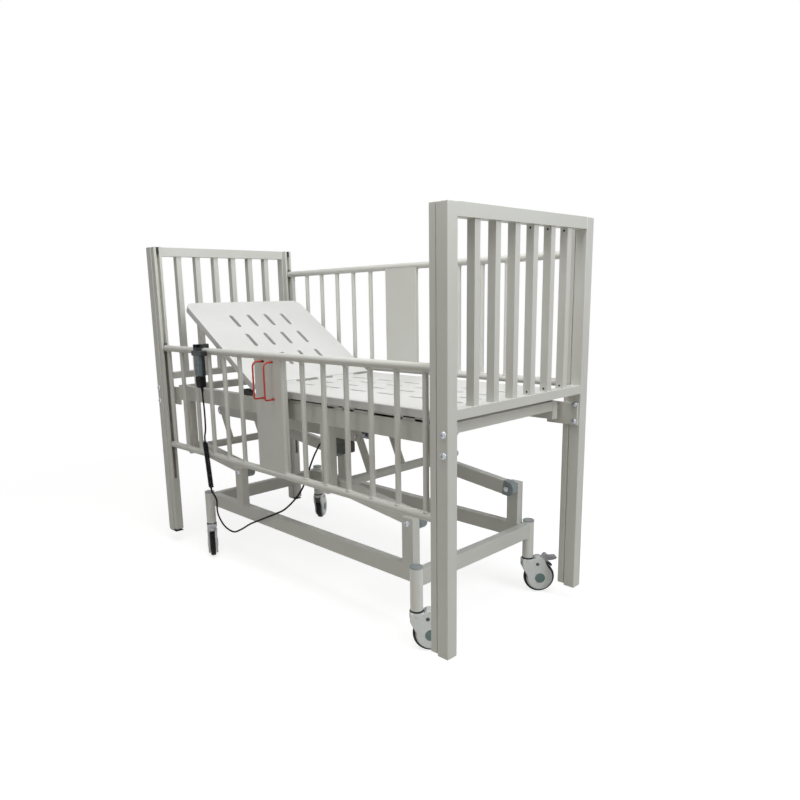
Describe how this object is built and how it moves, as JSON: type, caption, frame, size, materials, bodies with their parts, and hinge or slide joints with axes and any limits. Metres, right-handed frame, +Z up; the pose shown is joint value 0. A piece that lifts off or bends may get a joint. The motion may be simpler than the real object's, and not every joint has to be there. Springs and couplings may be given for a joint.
{
  "type": "pediatric hospital cot",
  "caption": "Slatted steel cot on a wheeled lifting base, with a slotted deck, a raised backrest, sliding guard rails and a corded handset.",
  "frame": {"origin": "on the floor under the middle of the cot", "axes": "+X towards the foot end, +Y towards the side whose guard rail is raised, +Z up"},
  "size_m": [1.5, 0.706, 1.18],
  "materials": {
    "ivory_paint": "satin powder coat",
    "deck_paint": "satin powder coat",
    "red_wire": "dipped plastic coat",
    "hood_plastic": "moulded gloss",
    "grey_plastic": "moulded satin",
    "dark_plastic": "fine moulded texture",
    "black_rubber": "matt",
    "wheel_tread": "matt",
    "steel": "zinc plated"
  },
  "bodies": {
    "base": {"base_rail_near": "ivory_paint", "base_rail_far": "ivory_paint", "base_cross_head": "ivory_paint", "base_cross_foot": "ivory_paint", "pivot_bolt_near_head": "steel", "pivot_bolt_far_head": "steel", "pivot_bolt_near_foot": "steel", "pivot_bolt_far_foot": "steel"},
    "swivel_near_head": {"caster_near_head_fork": "hood_plastic"},
    "wheel_near_head": {"caster_near_head_wheel": "wheel_tread"},
    "pedal_near_head": {"caster_near_head_pedal": "grey_plastic"},
    "swivel_far_head": {"caster_far_head_fork": "hood_plastic"},
    "wheel_far_head": {"caster_far_head_wheel": "wheel_tread"},
    "pedal_far_head": {"caster_far_head_pedal": "grey_plastic"},
    "swivel_near_foot": {"caster_near_foot_fork": "hood_plastic"},
    "wheel_near_foot": {"caster_near_foot_wheel": "wheel_tread"},
    "pedal_near_foot": {"caster_near_foot_pedal": "grey_plastic"},
    "swivel_far_foot": {"caster_far_foot_fork": "hood_plastic"},
    "wheel_far_foot": {"caster_far_foot_wheel": "wheel_tread"},
    "pedal_far_foot": {"caster_far_foot_pedal": "grey_plastic"},
    "lift_head": {"lift_frame_head": "ivory_paint"},
    "lift_foot": {"lift_frame_foot": "ivory_paint"},
    "sync": {"sync_bar_near": "ivory_paint", "sync_bar_far": "ivory_paint"},
    "deck": {"deck_side_near": "ivory_paint", "deck_side_far": "ivory_paint", "deck_cross_head": "ivory_paint", "deck_cross_mid": "ivory_paint", "deck_cross_foot": "ivory_paint", "buffer_near": "black_rubber", "buffer_far": "black_rubber", "seat_panel": "deck_paint", "lift_actuator_body": "dark_plastic", "backrest_actuator_body": "dark_plastic", "control_box": "dark_plastic", "control_gland": "black_rubber", "cord_lower": "black_rubber", "post_near_head": "ivory_paint", "post_far_head": "ivory_paint", "post_near_foot": "ivory_paint", "post_far_foot": "ivory_paint", "grille_head": "ivory_paint", "grille_foot": "ivory_paint"},
    "lift_rod": {"lift_actuator_rod": "steel"},
    "backrest": {"backrest_panel": "deck_paint"},
    "back_rod": {"backrest_actuator_rod": "steel"},
    "rail_near": {"guard_rail_near": "ivory_paint", "handset_body": "dark_plastic", "handset_relief": "black_rubber", "cord_upper": "black_rubber", "cord_coil": "black_rubber"},
    "rail_far": {"guard_rail_far": "ivory_paint"},
    "handle_near_head": {"latch_near_head": "red_wire"},
    "handle_near_foot": {"latch_near_foot": "red_wire"},
    "handle_far_head": {"latch_far_head": "red_wire"},
    "handle_far_foot": {"latch_far_foot": "red_wire"},
    "button_1": {"handset_button_1": "grey_plastic"},
    "button_2": {"handset_button_2": "grey_plastic"},
    "button_3": {"handset_button_3": "grey_plastic"},
    "button_4": {"handset_button_4": "grey_plastic"}
  },
  "joints": [
    {"name": "swivel_near_head", "type": "hinge", "parent": "base", "child": "swivel_near_head", "pos_m": [-0.5, -0.27, 0.12], "axis": [0, 0, 1], "continuous": true},
    {"name": "swivel_far_head", "type": "hinge", "parent": "base", "child": "swivel_far_head", "pos_m": [-0.5, 0.27, 0.12], "axis": [0, 0, 1], "continuous": true},
    {"name": "swivel_near_foot", "type": "hinge", "parent": "base", "child": "swivel_near_foot", "pos_m": [0.593, -0.27, 0.12], "axis": [0, 0, 1], "continuous": true},
    {"name": "swivel_far_foot", "type": "hinge", "parent": "base", "child": "swivel_far_foot", "pos_m": [0.593, 0.27, 0.12], "axis": [0, 0, 1], "continuous": true},
    {"name": "wheel_near_head", "type": "hinge", "parent": "swivel_near_head", "child": "wheel_near_head", "pos_m": [-0.46709, -0.289, 0.05], "axis": [0.5, 0.866, 0], "continuous": true},
    {"name": "wheel_far_head", "type": "hinge", "parent": "swivel_far_head", "child": "wheel_far_head", "pos_m": [-0.52234, 0.30074, 0.05], "axis": [-0.809, -0.5878, 0], "continuous": true},
    {"name": "wheel_near_foot", "type": "hinge", "parent": "swivel_near_foot", "child": "wheel_near_foot", "pos_m": [0.61892, -0.24221, 0.05], "axis": [-0.7314, 0.682, 0], "continuous": true},
    {"name": "wheel_far_foot", "type": "hinge", "parent": "swivel_far_foot", "child": "wheel_far_foot", "pos_m": [0.61892, 0.29779, 0.05], "axis": [-0.7314, 0.682, 0], "continuous": true},
    {"name": "pedal_near_head", "type": "hinge", "parent": "swivel_near_head", "child": "pedal_near_head", "pos_m": [-0.45843, -0.294, 0.11], "axis": [0.5, 0.866, 0], "range_deg": [0, 12]},
    {"name": "pedal_far_head", "type": "hinge", "parent": "swivel_far_head", "child": "pedal_far_head", "pos_m": [-0.52821, 0.30883, 0.11], "axis": [-0.809, -0.5878, 0], "range_deg": [0, 12]},
    {"name": "pedal_near_foot", "type": "hinge", "parent": "swivel_near_foot", "child": "pedal_near_foot", "pos_m": [0.62574, -0.23489, 0.11], "axis": [-0.7314, 0.682, 0], "range_deg": [0, 12]},
    {"name": "pedal_far_foot", "type": "hinge", "parent": "swivel_far_foot", "child": "pedal_far_foot", "pos_m": [0.62574, 0.30511, 0.11], "axis": [-0.7314, 0.682, 0], "range_deg": [0, 12]},
    {"name": "lift", "type": "hinge", "parent": "base", "child": "lift_foot", "pos_m": [0.553, 0, 0.357], "axis": [0, 1, 0], "range_deg": [0, 40]},
    {"name": "lift_head_swing", "type": "hinge", "parent": "base", "child": "lift_head", "pos_m": [-0.295, 0, 0.357], "axis": [0, 1, 0], "range_deg": [0, 40]},
    {"name": "deck_carry", "type": "hinge", "parent": "lift_foot", "child": "deck", "pos_m": [0.21546, 0, 0.39785], "axis": [0, 1, 0], "range_deg": [-40, 0]},
    {"name": "sync_carry", "type": "hinge", "parent": "lift_foot", "child": "sync", "pos_m": [0.15714, 0, 0.52292], "axis": [0, 1, 0], "range_deg": [-40, 0]},
    {"name": "lift_rod_slide", "type": "slide", "parent": "deck", "child": "lift_rod", "axis": [1, 0, 0], "range_m": [0, 0.095]},
    {"name": "backrest_tilt", "type": "hinge", "parent": "deck", "child": "backrest", "pos_m": [-0.15, 0, 0.672], "axis": [0, 1, 0], "range_deg": [-32.6, 35]},
    {"name": "back_rod_slide", "type": "slide", "parent": "deck", "child": "back_rod", "axis": [1, 0, 0], "range_m": [-0.0645, 0.0605]},
    {"name": "rail_near_slide", "type": "slide", "parent": "deck", "child": "rail_near", "axis": [0, 0, 1], "range_m": [0, 0.284], "deforming": ["cord_coil"]},
    {"name": "rail_far_slide", "type": "slide", "parent": "deck", "child": "rail_far", "axis": [0, 0, 1], "range_m": [-0.284, 0]},
    {"name": "handle_near_head_slide", "type": "slide", "parent": "rail_near", "child": "handle_near_head", "axis": [1, 0, 0], "range_m": [0, 0.012], "stiffness_N_per_m": 400, "springref_m": -0.008},
    {"name": "handle_near_foot_slide", "type": "slide", "parent": "rail_near", "child": "handle_near_foot", "axis": [1, 0, 0], "range_m": [-0.012, 0], "stiffness_N_per_m": 400, "springref_m": 0.008},
    {"name": "handle_far_head_slide", "type": "slide", "parent": "rail_far", "child": "handle_far_head", "axis": [1, 0, 0], "range_m": [0, 0.012], "stiffness_N_per_m": 400, "springref_m": -0.008},
    {"name": "handle_far_foot_slide", "type": "slide", "parent": "rail_far", "child": "handle_far_foot", "axis": [1, 0, 0], "range_m": [-0.012, 0], "stiffness_N_per_m": 400, "springref_m": 0.008},
    {"name": "button_1_press", "type": "slide", "parent": "rail_near", "child": "button_1", "axis": [0, 1, 0], "range_m": [0, 0.0015], "stiffness_N_per_m": 400, "springref_m": -0.001},
    {"name": "button_2_press", "type": "slide", "parent": "rail_near", "child": "button_2", "axis": [0, 1, 0], "range_m": [0, 0.0015], "stiffness_N_per_m": 400, "springref_m": -0.001},
    {"name": "button_3_press", "type": "slide", "parent": "rail_near", "child": "button_3", "axis": [0, 1, 0], "range_m": [0, 0.0015], "stiffness_N_per_m": 400, "springref_m": -0.001},
    {"name": "button_4_press", "type": "slide", "parent": "rail_near", "child": "button_4", "axis": [0, 1, 0], "range_m": [0, 0.0015], "stiffness_N_per_m": 400, "springref_m": -0.001}
  ],
  "couplings": [
    {"joint": "lift_head_swing", "follows": "lift", "ratio": 1},
    {"joint": "deck_carry", "follows": "lift", "ratio": -1},
    {"joint": "sync_carry", "follows": "lift", "ratio": -1},
    {"joint": "lift_rod_slide", "follows": "lift", "m_per_rad": 0.135},
    {"joint": "back_rod_slide", "follows": "backrest_tilt", "m_per_rad": -0.1037}
  ]
}
